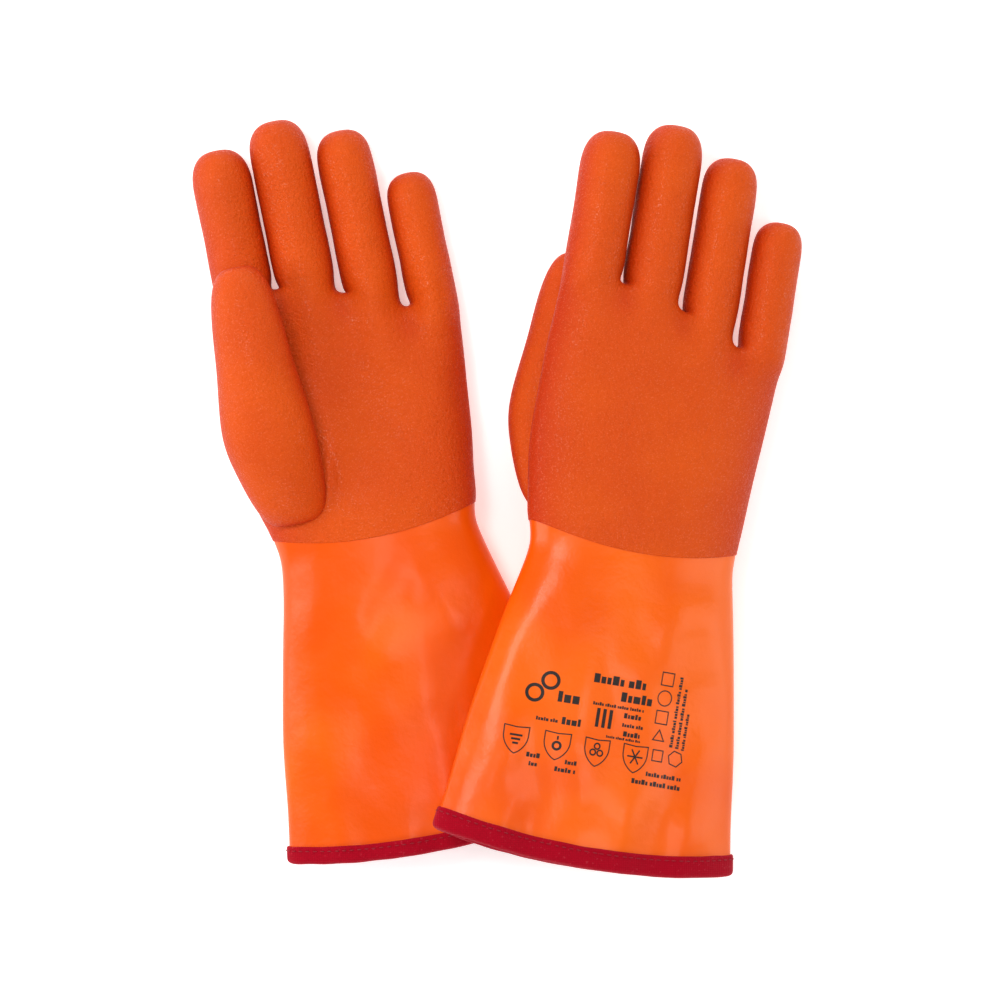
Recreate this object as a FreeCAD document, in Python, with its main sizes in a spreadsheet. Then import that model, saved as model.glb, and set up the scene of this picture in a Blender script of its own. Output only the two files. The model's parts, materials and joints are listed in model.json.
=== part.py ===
import FreeCAD, Part
import math
import os
import Sketcher

# A pair of insulated cryogenic gauntlets lying on a table. Each glove is drawn once in its own
# frame: origin at the wrist, +Y to the fingertips, thumb on -X, +Z out of the palm. The left
# glove lies palm up. The right glove is the mirror image, back up, rolled onto its tucked thumb.

doc = FreeCAD.newDocument("CryogenicGloves")
sheet = doc.addObject("Spreadsheet::Sheet", "Sizes")

# alias, value in millimetres or degrees, meaning
sizes = [
    ("skinWall", 2.0, "dipped PVC skin"),
    ("layerGap", 0.2, "slack between skin and lining"),
    ("liningWall", 3.0, "fleece and foam lining"),
    ("bodyGap", 0.3, "clearance between moving pieces"),
    ("tapeWall", 1.2, "binding tape"),
    ("tapeDepth", 9.0, "how far the binding reaches up the cuff"),
    ("threadWall", 0.5, "seam thread standing on the tape"),
    ("threadWidth", 1.0, "seam thread width"),
    ("threadInset", 6.0, "seam line above the mouth edge"),
    ("threadGap", 0.05, "seam thread off the tape"),
    ("mouthBow", 354.0, "radius of the bowed mouth seen from above"),
    ("mouthEdge", 154.0, "wrist to the middle of the mouth edge"),
    ("restDepth", 0.8, "how deep the resting face is pressed flat"),
    ("flexHalf", 11.0, "half length of a finger's flexing sleeve"),
    ("stubRoot", 74.0, "where the finger roots start inside the palm"),
    ("leftTurn", 11.5, "left glove turned on the table"),
    ("leftWristX", -55.8, "left wrist place"),
    ("leftWristY", -13.4, "left wrist place"),
    ("rightTurn", -10.0, "right glove turned on the table"),
    ("rightWristX", 61.9, "right wrist place"),
    ("rightWristY", -21.5, "right wrist place"),
    ("rightRoll", 14.0, "right glove rolled onto its thumb"),
    ("rightPitch", -3.5, "right glove tipped up where its cuff lies on the left one"),
    ("rightLift", 31.4, "height of the right glove's middle plane"),
    ("middlePlane", 19.0, "depth of the roll axis under the back of the hand"),
]

# station: distance from the wrist, centre across, half width, half height, raised by the tape
cuffStations = [
    ("cuffTop", -10.0, 0.0, 48.5, 20.0, 0.0),
    ("cuffUpper", -46.0, 0.0, 56.0, 18.5, 0.0),
    ("cuffMiddle", -90.0, 0.0, 64.3, 17.0, 0.5),
    ("cuffLower", -125.0, 0.0, 68.5, 16.0, 1.0),
    ("cuffMouth", -158.0, 0.0, 74.5, 15.5, 1.0),
]
palmStations = [
    ("palmWrist", 8.0, -0.5, 50.5, 20.0, 0.0),
    ("palmHeel", 38.0, -2.5, 54.5, 18.0, 0.0),
    ("palmMiddle", 70.0, -1.2, 57.0, 16.5, 0.0),
    ("palmKnuckle", 96.0, 0.5, 58.8, 15.4, 0.0),
    ("palmWeb", 112.0, -9.0, 46.0, 14.0, 0.0),
]
# station: distance, half width, then half height and height of the axis for left and right
thumbStations = [
    ("thumbHeel", 9.0, 6.0, 5.0, 25.0, 5.0, 23.0),
    ("thumbBall", 20.0, 14.0, 12.0, 28.0, 10.0, 26.0),
    ("thumbMount", 35.0, 19.0, 17.0, 38.0, 12.5, 33.0),
    ("thumbRoot", 50.0, 21.5, 18.0, 46.5, 12.5, 41.0),
    ("thumbKnuckle", 72.0, 20.0, 16.5, 48.0, 12.0, 43.5),
    ("thumbMiddle", 100.0, 17.0, 15.5, 47.5, 11.5, 43.0),
    ("thumbPad", 118.0, 15.3, 14.5, 46.5, 11.0, 41.5),
    ("thumbNail", 130.0, 11.5, 10.5, 45.5, 8.0, 40.5),
    ("thumbTip", 136.0, 4.5, 4.0, 45.0, 3.4, 40.0),
]
thumbAcross = -41.0
# finger: centre across, radius, pivot distance, tip distance
fingers = [
    ("index", -40.0, 14.15, 146.0, 190.5),
    ("middle", -10.8, 14.25, 148.0, 198.8),
    ("ring", 18.7, 13.25, 138.0, 188.2),
    ("little", 46.0, 11.8, 124.0, 162.3),
]

for name, along, across, halfWidth, halfHeight, rise in cuffStations + palmStations:
    sizes.append((name + "Along", along, "distance from the wrist"))
    sizes.append((name + "Across", across, "centre across the glove"))
    sizes.append((name + "HalfWidth", halfWidth, "half width of the oval"))
    sizes.append((name + "HalfHeight", halfHeight, "half height of the oval"))
    sizes.append((name + "Rise", rise, "extra height of the centre"))
for name, along, halfWidth, leftHeight, leftAxis, rightHeight, rightAxis in thumbStations:
    sizes.append((name + "Along", along, "distance from the wrist"))
    sizes.append((name + "HalfWidth", halfWidth, "half width of the oval"))
    sizes.append((name + "LeftHalfHeight", leftHeight, "half height, left thumb"))
    sizes.append((name + "LeftAxis", leftAxis, "height of the axis, left thumb"))
    sizes.append((name + "RightHalfHeight", rightHeight, "half height, right thumb"))
    sizes.append((name + "RightAxis", rightAxis, "height of the axis, right thumb"))
sizes.append(("thumbAcross", thumbAcross, "centre of the thumb across the glove"))
for name, across, radius, pivot, tip in fingers:
    sizes.append((name + "Across", across, "centre across the glove"))
    sizes.append((name + "Radius", radius, "outer radius"))
    sizes.append((name + "Pivot", pivot, "distance of the bending knuckle"))
    sizes.append((name + "Tip", tip, "distance of the fingertip"))

for row, (alias, value, meaning) in enumerate(sizes, start=1):
    sheet.set("A%d" % row, meaning)
    sheet.set("B%d" % row, str(value))
    sheet.setAlias("B%d" % row, alias)
doc.recompute()

# insets of each layer's surfaces from the outer surface of the glove
skinOutside = "0"
skinInside = "Sizes.skinWall"
liningOutside = "Sizes.skinWall + Sizes.layerGap"
liningInside = "Sizes.skinWall + Sizes.layerGap + Sizes.liningWall"
tapeOutside = "-(Sizes.layerGap + Sizes.tapeWall)"
tapeInside = "-Sizes.layerGap"
tapeFarInside = liningInside + " + Sizes.layerGap"
tapeFarOutside = liningInside + " + Sizes.layerGap + Sizes.tapeWall"
threadInside = "-(Sizes.layerGap + Sizes.tapeWall + Sizes.threadGap)"
threadOutside = "-(Sizes.layerGap + Sizes.tapeWall + Sizes.threadGap + Sizes.threadWall)"

turnUpright = FreeCAD.Rotation(FreeCAD.Vector(1, 0, 0), 90)      # an oval's plane set across Y
turnAlong = FreeCAD.Rotation(FreeCAD.Vector(1, 0, 0), -90)       # a cylinder's axis laid along Y
subParts = []


def place(item, across, along, height):
    item.setExpression(".Placement.Base.x", across)
    item.setExpression(".Placement.Base.y", along)
    item.setExpression(".Placement.Base.z", height)


def oval(name, halfWidth, halfHeight, across, along, height):
    item = doc.addObject("Part::Ellipse", name)
    item.Placement = FreeCAD.Placement(FreeCAD.Vector(), turnUpright)
    item.setExpression("MajorRadius", halfWidth)
    item.setExpression("MinorRadius", halfHeight)
    place(item, across, along, height)
    return item


def loft(name, sections):
    item = doc.addObject("Part::Loft", name)
    item.Sections = sections
    item.Solid = True
    item.Ruled = len(sections) == 2
    return item


def bodyLoft(name, side, stations, inset, trim="0"):
    """An oval tube of the cuff or palm, inset from the outer surface, its far end trimmed."""
    sections = []
    for step, station in enumerate(stations):
        s = "Sizes." + station
        along = s + "Along"
        if step == len(stations) - 1:
            along = "%sAlong - (%s)" % (s, trim)
        height = "%d * (%sHalfHeight + %sRise - Sizes.restDepth)" % (side, s, s)
        sections.append(oval("%s%d" % (name, step), "%sHalfWidth - (%s)" % (s, inset),
                             "%sHalfHeight - (%s)" % (s, inset), s + "Across", along, height))
    return loft(name, sections)


def thumbLoft(name, side, stations, inset, trim="0", lead="0"):
    hand = "Left" if side > 0 else "Right"
    sections = []
    for step, station in enumerate(stations):
        s = "Sizes." + station
        along = s + "Along"
        if step == 0:
            along = "%sAlong + %s" % (s, lead)
        if step == len(stations) - 1:
            along = "%sAlong - (%s)" % (s, trim)
        sections.append(oval("%s%d" % (name, step), "%sHalfWidth - (%s)" % (s, inset),
                             "%s%sHalfHeight - (%s)" % (s, hand, inset), "Sizes.thumbAcross",
                             along, "%d * %s%sAxis" % (side, s, hand)))
    return loft(name, sections)


def cylinder(name, radius, length, across, along, height):
    item = doc.addObject("Part::Cylinder", name)
    item.Placement = FreeCAD.Placement(FreeCAD.Vector(), turnAlong)
    item.setExpression("Radius", radius)
    item.setExpression("Height", length)
    place(item, across, along, height)
    return item


def cut(name, base, tool):
    item = doc.addObject("Part::Cut", name)
    item.Base = base
    item.Tool = tool
    return item


def common(name, shapes):
    item = doc.addObject("Part::MultiCommon", name)
    item.Shapes = shapes
    return item


def fuse(name, shapes):
    item = doc.addObject("Part::MultiFuse", name)
    item.Shapes = shapes
    return item


def bowedDisc(name, inset):
    """A tall round slab whose lower edge is the bowed mouth, drawn in by the inset."""
    tall = 200
    item = doc.addObject("Part::Cylinder", name)
    item.Height = 2 * tall
    item.setExpression("Radius", "Sizes.mouthBow - (%s)" % inset)
    place(item, "0", "Sizes.mouthBow - Sizes.mouthEdge", str(-tall))
    return item


def belowTable(name):
    item = doc.addObject("Part::Box", name)
    item.Length = 400
    item.Width = 600
    item.Height = 100
    item.Placement.Base = FreeCAD.Vector(-200, -250, -100)
    return item


def glovePlacement(side):
    if side > 0:
        turn = FreeCAD.Rotation(FreeCAD.Vector(0, 0, 1), sheet.leftTurn)
        return FreeCAD.Placement(FreeCAD.Vector(sheet.leftWristX, sheet.leftWristY, 0), turn)
    turn = FreeCAD.Rotation(FreeCAD.Vector(0, 0, 1), sheet.rightTurn)
    roll = FreeCAD.Rotation(FreeCAD.Vector(0, 1, 0), sheet.rightRoll)
    pitch = FreeCAD.Rotation(FreeCAD.Vector(1, 0, 0), sheet.rightPitch)
    wrist = FreeCAD.Vector(sheet.rightWristX, sheet.rightWristY, sheet.rightLift)
    centre = FreeCAD.Placement(FreeCAD.Vector(0, 0, sheet.middlePlane), FreeCAD.Rotation())
    return FreeCAD.Placement(wrist, turn.multiply(roll).multiply(pitch)).multiply(centre)


def finish(item, label, side, flatten=False):
    """Presses the left glove's resting face flat, then sets the piece in its place."""
    if flatten and side > 0:
        item = cut(item.Name + "Rest", item, belowTable(item.Name + "Table"))
    item.Label = label
    item.Placement = glovePlacement(side)
    subParts.append(item)


def cuffPieces(hand, side):
    stations = [row[0] for row in cuffStations]

    def tube(name, outside, inside):
        return cut(name, bodyLoft(name + "Out", side, stations, outside),
                   bodyLoft(name + "In", side, stations, inside))

    skin = common(hand + "CuffSkin", [tube(hand + "CuffTube", skinOutside, skinInside),
                                      bowedDisc(hand + "CuffMouth", "0")])
    finish(skin, hand + "_cuff_skin", side, flatten=True)
    lining = common(hand + "CuffLining", [tube(hand + "LiningTube", liningOutside, liningInside),
                                          bowedDisc(hand + "LiningMouth", "0")])
    finish(lining, hand + "_cuff_lining", side)

    band = cut(hand + "TapeBand", bowedDisc(hand + "TapeEdge", tapeOutside),
               bowedDisc(hand + "TapeTop", "Sizes.tapeDepth"))
    ring = common(hand + "TapeRing", [tube(hand + "TapeTube", tapeOutside, tapeFarOutside), band])
    wall = common(hand + "TapeWall", [tube(hand + "TapeRoom", tapeInside, tapeFarInside),
                                      bowedDisc(hand + "TapeFold", tapeInside)])
    finish(cut(hand + "Tape", ring, wall), hand + "_cuff_binding", side, flatten=True)

    seam = cut(hand + "SeamBand", bowedDisc(hand + "SeamLow", "Sizes.threadInset"),
               bowedDisc(hand + "SeamHigh", "Sizes.threadInset + Sizes.threadWidth"))
    thread = common(hand + "Thread", [tube(hand + "ThreadTube", threadOutside, threadInside), seam])
    finish(thread, hand + "_binding_thread", side, flatten=True)


def sleevePieces(hand, side):
    """Flexing sleeves: skin and lining together where the glove bends."""
    def wristTube(name, inset):
        sections = []
        for station, gap in (("cuffTop", "Sizes.bodyGap"), ("palmWrist", "-Sizes.bodyGap")):
            s = "Sizes." + station
            height = "%d * (%sHalfHeight - Sizes.restDepth)" % (side, s)
            sections.append(oval(name + station, "%sHalfWidth - (%s)" % (s, inset),
                                 "%sHalfHeight - (%s)" % (s, inset), s + "Across",
                                 "%sAlong + %s" % (s, gap), height))
        return loft(name, sections)

    wrist = cut(hand + "WristSleeve", wristTube(hand + "WristOut", skinOutside),
                wristTube(hand + "WristIn", liningInside))
    finish(wrist, hand + "_wrist_sleeve", side, flatten=True)

    for name, across, radius, pivot, tip in fingers:
        s = "Sizes." + name
        start = "%sPivot - Sizes.flexHalf + Sizes.bodyGap" % s
        length = "2 * (Sizes.flexHalf - Sizes.bodyGap)"
        height = "%d * %sRadius" % (side, s)
        outer = cylinder(hand + name + "SleeveOut", s + "Radius", length, s + "Across", start, height)
        inner = cylinder(hand + name + "SleeveIn", "%sRadius - (%s)" % (s, liningInside), length,
                         s + "Across", start, height)
        finish(cut(hand + name + "Sleeve", outer, inner), "%s_%s_sleeve" % (hand, name), side)

    def thumbTube(name, inset):
        handName = "Left" if side > 0 else "Right"
        sections = []
        for station, gap in (("thumbRoot", "Sizes.bodyGap"), ("thumbKnuckle", "-Sizes.bodyGap")):
            s = "Sizes." + station
            sections.append(oval(name + station, "%sHalfWidth - (%s)" % (s, inset),
                                 "%s%sHalfHeight - (%s)" % (s, handName, inset),
                                 "Sizes.thumbAcross", "%sAlong + %s" % (s, gap),
                                 "%d * %s%sAxis" % (side, s, handName)))
        return loft(name, sections)

    thumb = cut(hand + "ThumbTube", thumbTube(hand + "ThumbTubeOut", skinOutside),
                thumbTube(hand + "ThumbTubeIn", liningInside))
    palm = bodyLoft(hand + "ThumbRoom", side, [row[0] for row in palmStations], "-Sizes.bodyGap")
    finish(cut(hand + "ThumbSleeve", thumb, palm), hand + "_thumb_sleeve", side)


def handForms(name, side, inset, thumbFrom):
    """The palm, its finger roots and the thumb's root, each a closed form inset by a layer."""
    pieces = [bodyLoft(name + "Palm", side, [row[0] for row in palmStations], inset, inset)]
    for finger, across, radius, pivot, tip in fingers:
        s = "Sizes." + finger
        pieces.append(cylinder(name + finger, "%sRadius - (%s)" % (s, inset),
                               "%sPivot - Sizes.flexHalf - Sizes.stubRoot" % s, s + "Across",
                               "Sizes.stubRoot", "%d * %sRadius" % (side, s)))
    names = [row[0] for row in thumbStations]
    last = names.index("thumbRoot") + 1
    pieces.append(thumbLoft(name + "Thumb", side, names[names.index(thumbFrom):last], inset,
                            lead=inset))
    return pieces


def handPieces(hand, side):
    """The skin and the lining of the hand: joined outer forms, hollowed one form at a time."""
    layers = [
        ("Skin", "_hand_skin", skinOutside, "thumbHeel", skinInside, True),
        ("Lining", "_hand_lining", liningOutside, "thumbBall", liningInside, False),
    ]
    for layer, label, outside, thumbFrom, inside, flatten in layers:
        item = fuse(hand + "Hand" + layer,
                    handForms(hand + layer + "Out", side, outside, thumbFrom))
        for step, form in enumerate(handForms(hand + layer + "In", side, inside, "thumbBall")):
            item = cut("%sHand%sHollow%d" % (hand, layer, step), item, form)
        finish(item, hand + label, side, flatten)


def fingerCap(name, label, side, finger, outside, inside):
    """A closed finger: a straight wall and a round tip turned about the finger's axis."""
    s = "Sizes." + finger
    radius = sheet.get(finger + "Radius")
    wall = sheet.skinWall if outside == skinOutside else sheet.liningWall
    start = radius - (0 if outside == skinOutside else sheet.skinWall + sheet.layerGap)
    straight = sheet.get(finger + "Tip") - sheet.get(finger + "Pivot") - sheet.flexHalf - radius
    body = doc.addObject("PartDesign::Body", name)
    plane = [p for p in body.Origin.OriginFeatures if p.Role == "XY_Plane"][0]
    sketch = body.newObject("Sketcher::SketchObject", name + "Profile")
    sketch.AttachmentSupport = [(plane, "")]
    sketch.MapMode = "FlatFace"
    point = FreeCAD.Vector
    flat = Part.Circle(point(0, straight, 0), point(0, 0, 1), start)
    bore = Part.Circle(point(0, straight, 0), point(0, 0, 1), start - wall)
    quarter = math.pi / 2
    sketch.addGeometry(Part.LineSegment(point(start, 0, 0), point(start, straight, 0)))
    sketch.addGeometry(Part.ArcOfCircle(flat, 0, quarter))
    sketch.addGeometry(Part.LineSegment(point(0, straight + start, 0),
                                        point(0, straight + start - wall, 0)))
    sketch.addGeometry(Part.ArcOfCircle(bore, 0, quarter))
    sketch.addGeometry(Part.LineSegment(point(start - wall, straight, 0), point(start - wall, 0, 0)))
    sketch.addGeometry(Part.LineSegment(point(start - wall, 0, 0), point(start, 0, 0)))
    for link in [(0, 2, 1, 1), (1, 2, 2, 1), (2, 2, 3, 2), (3, 1, 4, 1), (4, 2, 5, 1), (5, 2, 0, 1)]:
        sketch.addConstraint(Sketcher.Constraint("Coincident", *link))
    sketch.addConstraint(Sketcher.Constraint("Vertical", 0))
    sketch.addConstraint(Sketcher.Constraint("Vertical", 4))
    sketch.addConstraint(Sketcher.Constraint("PointOnObject", 5, 1, -1))
    sketch.addConstraint(Sketcher.Constraint("Horizontal", 5))
    sketch.addConstraint(Sketcher.Constraint("PointOnObject", 1, 3, -2))
    sketch.addConstraint(Sketcher.Constraint("Coincident", 1, 3, 3, 3))
    sketch.addConstraint(Sketcher.Constraint("PointOnObject", 2, 1, -2))
    sketch.addConstraint(Sketcher.Constraint("Vertical", 2))
    sketch.addConstraint(Sketcher.Constraint("Horizontal", 1, 3, 1, 1))
    sizeRules = [
        ("Radius", (1, start), "outerRadius", "%sRadius - (%s)" % (s, outside)),
        ("Radius", (3, start - wall), "innerRadius", "%sRadius - (%s)" % (s, inside)),
        ("DistanceY", (0, 1, 0, 2, straight), "straightWall",
         "%sTip - %sPivot - Sizes.flexHalf - %sRadius" % (s, s, s)),
    ]
    for kind, values, rule, expression in sizeRules:
        number = sketch.addConstraint(Sketcher.Constraint(kind, *values))
        sketch.renameConstraint(number, rule)
        sketch.setExpression("Constraints." + rule, expression)
    turned = body.newObject("PartDesign::Revolution", name + "Turned")
    turned.Profile = sketch
    turned.ReferenceAxis = (sketch, ["V_Axis"])
    turned.Angle = 360
    body.Tip = turned
    body.Label = label
    along = sheet.get(finger + "Pivot") + sheet.flexHalf
    local = FreeCAD.Vector(sheet.get(finger + "Across"), along, side * radius)
    body.Placement = glovePlacement(side).multiply(FreeCAD.Placement(local, FreeCAD.Rotation()))
    subParts.append(body)


def fingerPieces(hand, side):
    for finger, across, radius, pivot, tip in fingers:
        fingerCap(hand + finger + "Skin", "%s_%s_skin" % (hand, finger), side, finger,
                  skinOutside, skinInside)
        fingerCap(hand + finger + "Lining", "%s_%s_lining" % (hand, finger), side, finger,
                  liningOutside, liningInside)


def thumbPieces(hand, side):
    names = [row[0] for row in thumbStations]
    whole = names[names.index("thumbKnuckle"):]
    skin = cut(hand + "ThumbSkin", thumbLoft(hand + "ThumbOut", side, whole, skinOutside),
               thumbLoft(hand + "ThumbIn", side, whole, skinInside, skinInside))
    finish(skin, hand + "_thumb_skin", side)
    lining = cut(hand + "ThumbLining",
                 thumbLoft(hand + "ThumbFill", side, whole, liningOutside, liningOutside),
                 thumbLoft(hand + "ThumbHollow", side, whole[:-1], liningInside))
    finish(lining, hand + "_thumb_lining", side)


for hand, side in (("left", 1), ("right", -1)):
    cuffPieces(hand, side)
    sleevePieces(hand, side)
    handPieces(hand, side)
    fingerPieces(hand, side)
    thumbPieces(hand, side)

doc.recompute()

for item in doc.Objects:
    if "Invalid" in item.State or "Error" in item.State:
        raise RuntimeError("%s did not build: %s" % (item.Label, item.getStatusString()))
for item in subParts:
    if item.Shape.isNull() or not item.Shape.isValid() or len(item.Shape.Solids) != 1:
        raise RuntimeError("%s is not one sound solid" % item.Label)

os.makedirs("parts", exist_ok=True)
for item in subParts:
    item.Shape.exportStep("parts/%s.step" % item.Label)
    box = item.Shape.optimalBoundingBox()
    print("%-24s %9.0f mm3  z %6.1f to %6.1f" % (item.Label, item.Shape.Volume, box.ZMin, box.ZMax))
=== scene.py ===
import bpy
import bmesh
import json
import math
from mathutils import Matrix, Vector, noise
from mathutils.bvhtree import BVHTree


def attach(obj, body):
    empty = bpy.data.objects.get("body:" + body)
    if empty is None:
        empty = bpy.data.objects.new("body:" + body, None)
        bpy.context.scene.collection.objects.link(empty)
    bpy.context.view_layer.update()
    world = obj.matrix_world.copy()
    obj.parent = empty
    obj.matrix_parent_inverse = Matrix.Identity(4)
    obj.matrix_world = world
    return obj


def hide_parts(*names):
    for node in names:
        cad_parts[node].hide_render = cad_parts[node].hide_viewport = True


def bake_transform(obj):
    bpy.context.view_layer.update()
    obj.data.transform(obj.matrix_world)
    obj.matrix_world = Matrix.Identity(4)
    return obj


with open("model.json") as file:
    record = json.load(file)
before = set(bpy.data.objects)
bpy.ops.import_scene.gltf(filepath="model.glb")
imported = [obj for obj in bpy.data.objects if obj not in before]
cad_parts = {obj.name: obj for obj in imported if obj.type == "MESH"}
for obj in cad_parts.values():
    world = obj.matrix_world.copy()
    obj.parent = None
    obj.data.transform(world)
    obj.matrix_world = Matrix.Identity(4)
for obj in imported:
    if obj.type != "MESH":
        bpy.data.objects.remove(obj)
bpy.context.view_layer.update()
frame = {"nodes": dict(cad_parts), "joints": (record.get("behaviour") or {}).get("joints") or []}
print("frame loaded:", len(frame["nodes"]), "CAD nodes")

# Lengths below are millimetres in a glove's own frame: origin at the wrist, y to the fingertips,
# the thumb on -x and z out of the palm. Both gloves share it; the right one is its mirror image.
mm = 0.001
joints = {joint["name"]: joint for joint in frame["joints"]}
hands = {"left": 1, "right": -1}
fingerNames = ["index", "middle", "ring", "little"]
wristHeight = 19.2  # z of the wrist hinge in its glove's own frame


# shader maths

class Wire:
    # a socket with arithmetic on it

    def __init__(self, finish, socket):
        self.finish = finish
        self.socket = socket

    def maths(self, operation, first, second):
        return self.finish.maths(operation, first, second)

    def __add__(self, other):
        return self.maths("ADD", self, other)

    def __radd__(self, other):
        return self.maths("ADD", other, self)

    def __sub__(self, other):
        return self.maths("SUBTRACT", self, other)

    def __rsub__(self, other):
        return self.maths("SUBTRACT", other, self)

    def __mul__(self, other):
        return self.maths("MULTIPLY", self, other)

    def __rmul__(self, other):
        return self.maths("MULTIPLY", other, self)


class Finish:
    # one material, built from nodes

    def __init__(self, name):
        self.material = bpy.data.materials.new(name)
        self.material.use_nodes = True
        self.tree = self.material.node_tree
        self.shader = self.tree.nodes["Principled BSDF"]
        self.place = self.node("ShaderNodeTexCoord", {}, {}, "Object")

    def node(self, kind, settings, inputs, output=0):
        made = self.tree.nodes.new(kind)
        for name, value in settings.items():
            if name == "stops":
                ramp = made.color_ramp
                for stop, (where, colour) in enumerate(value):
                    point = ramp.elements[stop] if stop < 2 else ramp.elements.new(where)
                    point.position = where
                    point.color = (*colour, 1)
            else:
                setattr(made, name, value)
        for name, value in inputs.items():
            self.feed(made.inputs[name], value)
        return Wire(self, made.outputs[output])

    def maths(self, operation, first, second=0.0):
        return self.node("ShaderNodeMath", {"operation": operation}, {0: first, 1: second})

    def feed(self, socket, value):
        if isinstance(value, Wire):
            self.tree.links.new(value.socket, socket)
        else:
            socket.default_value = value

    def speckle(self, scale, detail=2.0, roughness=0.5):
        return self.node("ShaderNodeTexNoise", {}, {"Vector": self.place, "Scale": scale,
                         "Detail": detail, "Roughness": roughness}, "Fac")

    def cells(self, scale):
        return self.node("ShaderNodeTexVoronoi", {}, {"Vector": self.place, "Scale": scale},
                         "Distance")

    def blendColours(self, share, first, second):
        return self.node("ShaderNodeMix", {"data_type": "RGBA"},
                         {"Factor": share, "A": (*first, 1) if isinstance(first, tuple) else first,
                          "B": (*second, 1) if isinstance(second, tuple) else second}, "Result")

    def ramp(self, value, low, high):
        # 0 below low, 1 above high
        return self.node("ShaderNodeMapRange", {"interpolation_type": "SMOOTHSTEP"},
                         {"Value": value, "From Min": low, "From Max": high}, "Result")

    def bump(self, height, distance, strength=1.0, under=None):
        inputs = {"Height": height, "Distance": distance, "Strength": strength}
        if under:
            inputs["Normal"] = under
        return self.node("ShaderNodeBump", {}, inputs)

    def dress(self, **inputs):
        for name, value in inputs.items():
            self.feed(self.shader.inputs[name.replace("_", " ")], value)
        return self.material


pvc = {
    "deep": (0.79, 0.103, 0.0),
    "pale": (0.86, 0.148, 0.001),
    "rough": 0.25,
    "shine": 0.06,
}


def makeGlossyPvc():
    # smooth dipped skin: glossy with shallow runs and a faint orange peel
    finish = Finish("glossyPvc")
    cloud = finish.ramp(finish.speckle(14.0, 2.0), 0.35, 0.68)
    colour = finish.blendColours(cloud, pvc["deep"], pvc["pale"])
    grime = finish.speckle(60.0, 3.0)
    peel = finish.bump(finish.speckle(520.0, 2.0), 0.00016, 0.6)
    runs = finish.bump(finish.speckle(48.0, 2.0), 0.0018, 0.4, peel)
    return finish.dress(Base_Color=colour, Roughness=pvc["rough"] + grime * 0.12, Normal=runs,
                        Coat_Weight=pvc["shine"], Coat_Roughness=0.1, IOR=1.5,
                        Specular_IOR_Level=0.3)


grip = {
    "deep": (0.655, 0.078, 0.0),
    "pale": (0.72, 0.104, 0.0),
    # painted shade: the darker red-orange given to the finger sides and crotches
    "side": (0.54, 0.032, 0.0),
    # painted highlight colour for the sparkling grains
    "glint": (0.95, 0.24, 0.04),
    "rough": 0.46,
}


def makeGripCoat():
    # matte over-coat with fine sandy grains that catch the light; its colour holds painted shade on
    # the finger sides and crotches and painted glints on the grains
    finish = Finish("gripCoat")
    cloud = finish.ramp(finish.speckle(24.0, 3.0), 0.3, 0.7)
    grains = finish.speckle(1700.0, 2.0, 0.6)
    lumps = finish.speckle(620.0, 3.0, 0.6)
    sparks = finish.ramp(finish.speckle(1500.0, 1.0), 0.58, 0.70)
    # the side attribute is a painted shade mask, high on the finger sides, palm edges and crotches
    side = finish.node("ShaderNodeAttribute", {"attribute_name": "side"}, {}, "Fac")
    colour = finish.blendColours(cloud * 0.6 + grains * 0.4, grip["deep"], grip["pale"])
    # painted shade: the colour darkens towards the side colour where the mask is high
    colour = finish.blendColours(side * 0.8, colour, grip["side"])
    # painted highlight: sparkling grains are tinted pale in the colour; the same mask also really
    # lowers the roughness and adds a coat
    colour = finish.blendColours(sparks * 0.14, colour, grip["glint"])
    skin = finish.bump(grains, 0.0005, 0.7)
    skin = finish.bump(lumps, 0.0012, 0.7, skin)
    return finish.dress(Base_Color=colour, Roughness=grip["rough"] - sparks * 0.16 + cloud * 0.06,
                        Normal=skin, IOR=1.5, Specular_IOR_Level=0.26, Coat_Weight=sparks * 0.6,
                        Coat_Roughness=0.3)


tape = {
    "deep": (0.32, 0.0001, 0.011),
    "pale": (0.45, 0.0004, 0.021),
    "threadsPerMetre": 2300.0,
}


def makeBindingTape():
    # woven crimson bias tape: two diagonal sets of threads and pale fibre specks
    finish = Finish("bindingTape")
    x, y = [finish.node("ShaderNodeSeparateXYZ", {}, {"Vector": finish.place}, axis) for axis in "XY"]
    pitch = tape["threadsPerMetre"] * math.pi / 2
    warp = finish.maths("SINE", (x + y) * pitch)
    weft = finish.maths("SINE", (x - y) * pitch)
    weave = warp * weft * 0.5 + 0.5
    fuzz = finish.speckle(900.0, 3.0)
    specks = finish.ramp(finish.speckle(760.0, 1.0), 0.66, 0.74)
    colour = finish.blendColours(weave * 0.5 + fuzz * 0.5, tape["deep"], tape["pale"])
    colour = finish.blendColours(specks * 0.22, colour, (0.62, 0.10, 0.13))
    skin = finish.bump(weave, 0.00022, 0.7)
    skin = finish.bump(fuzz, 0.0002, 0.5, skin)
    return finish.dress(Base_Color=colour, Roughness=0.82, Normal=skin, Sheen_Weight=0.08,
                        Specular_IOR_Level=0.1)


def makeSeamThread():
    finish = Finish("seamThread")
    twist = finish.speckle(2600.0, 2.0)
    colour = finish.blendColours(twist, (0.22, 0.0004, 0.010), (0.42, 0.006, 0.024))
    return finish.dress(Base_Color=colour, Roughness=0.6, Normal=finish.bump(twist, 0.00015, 0.6))


def makeFleece():
    # pale looped pile
    finish = Finish("fleece")
    loops = finish.cells(620.0)
    tufts = finish.speckle(180.0, 4.0, 0.65)
    colour = finish.blendColours(tufts, (0.50, 0.46, 0.38), (0.80, 0.77, 0.68))
    skin = finish.bump(loops, 0.0012, 0.8)
    skin = finish.bump(tufts, 0.002, 0.6, skin)
    return finish.dress(Base_Color=colour, Roughness=0.95, Normal=skin, Sheen_Weight=0.4)


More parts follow.
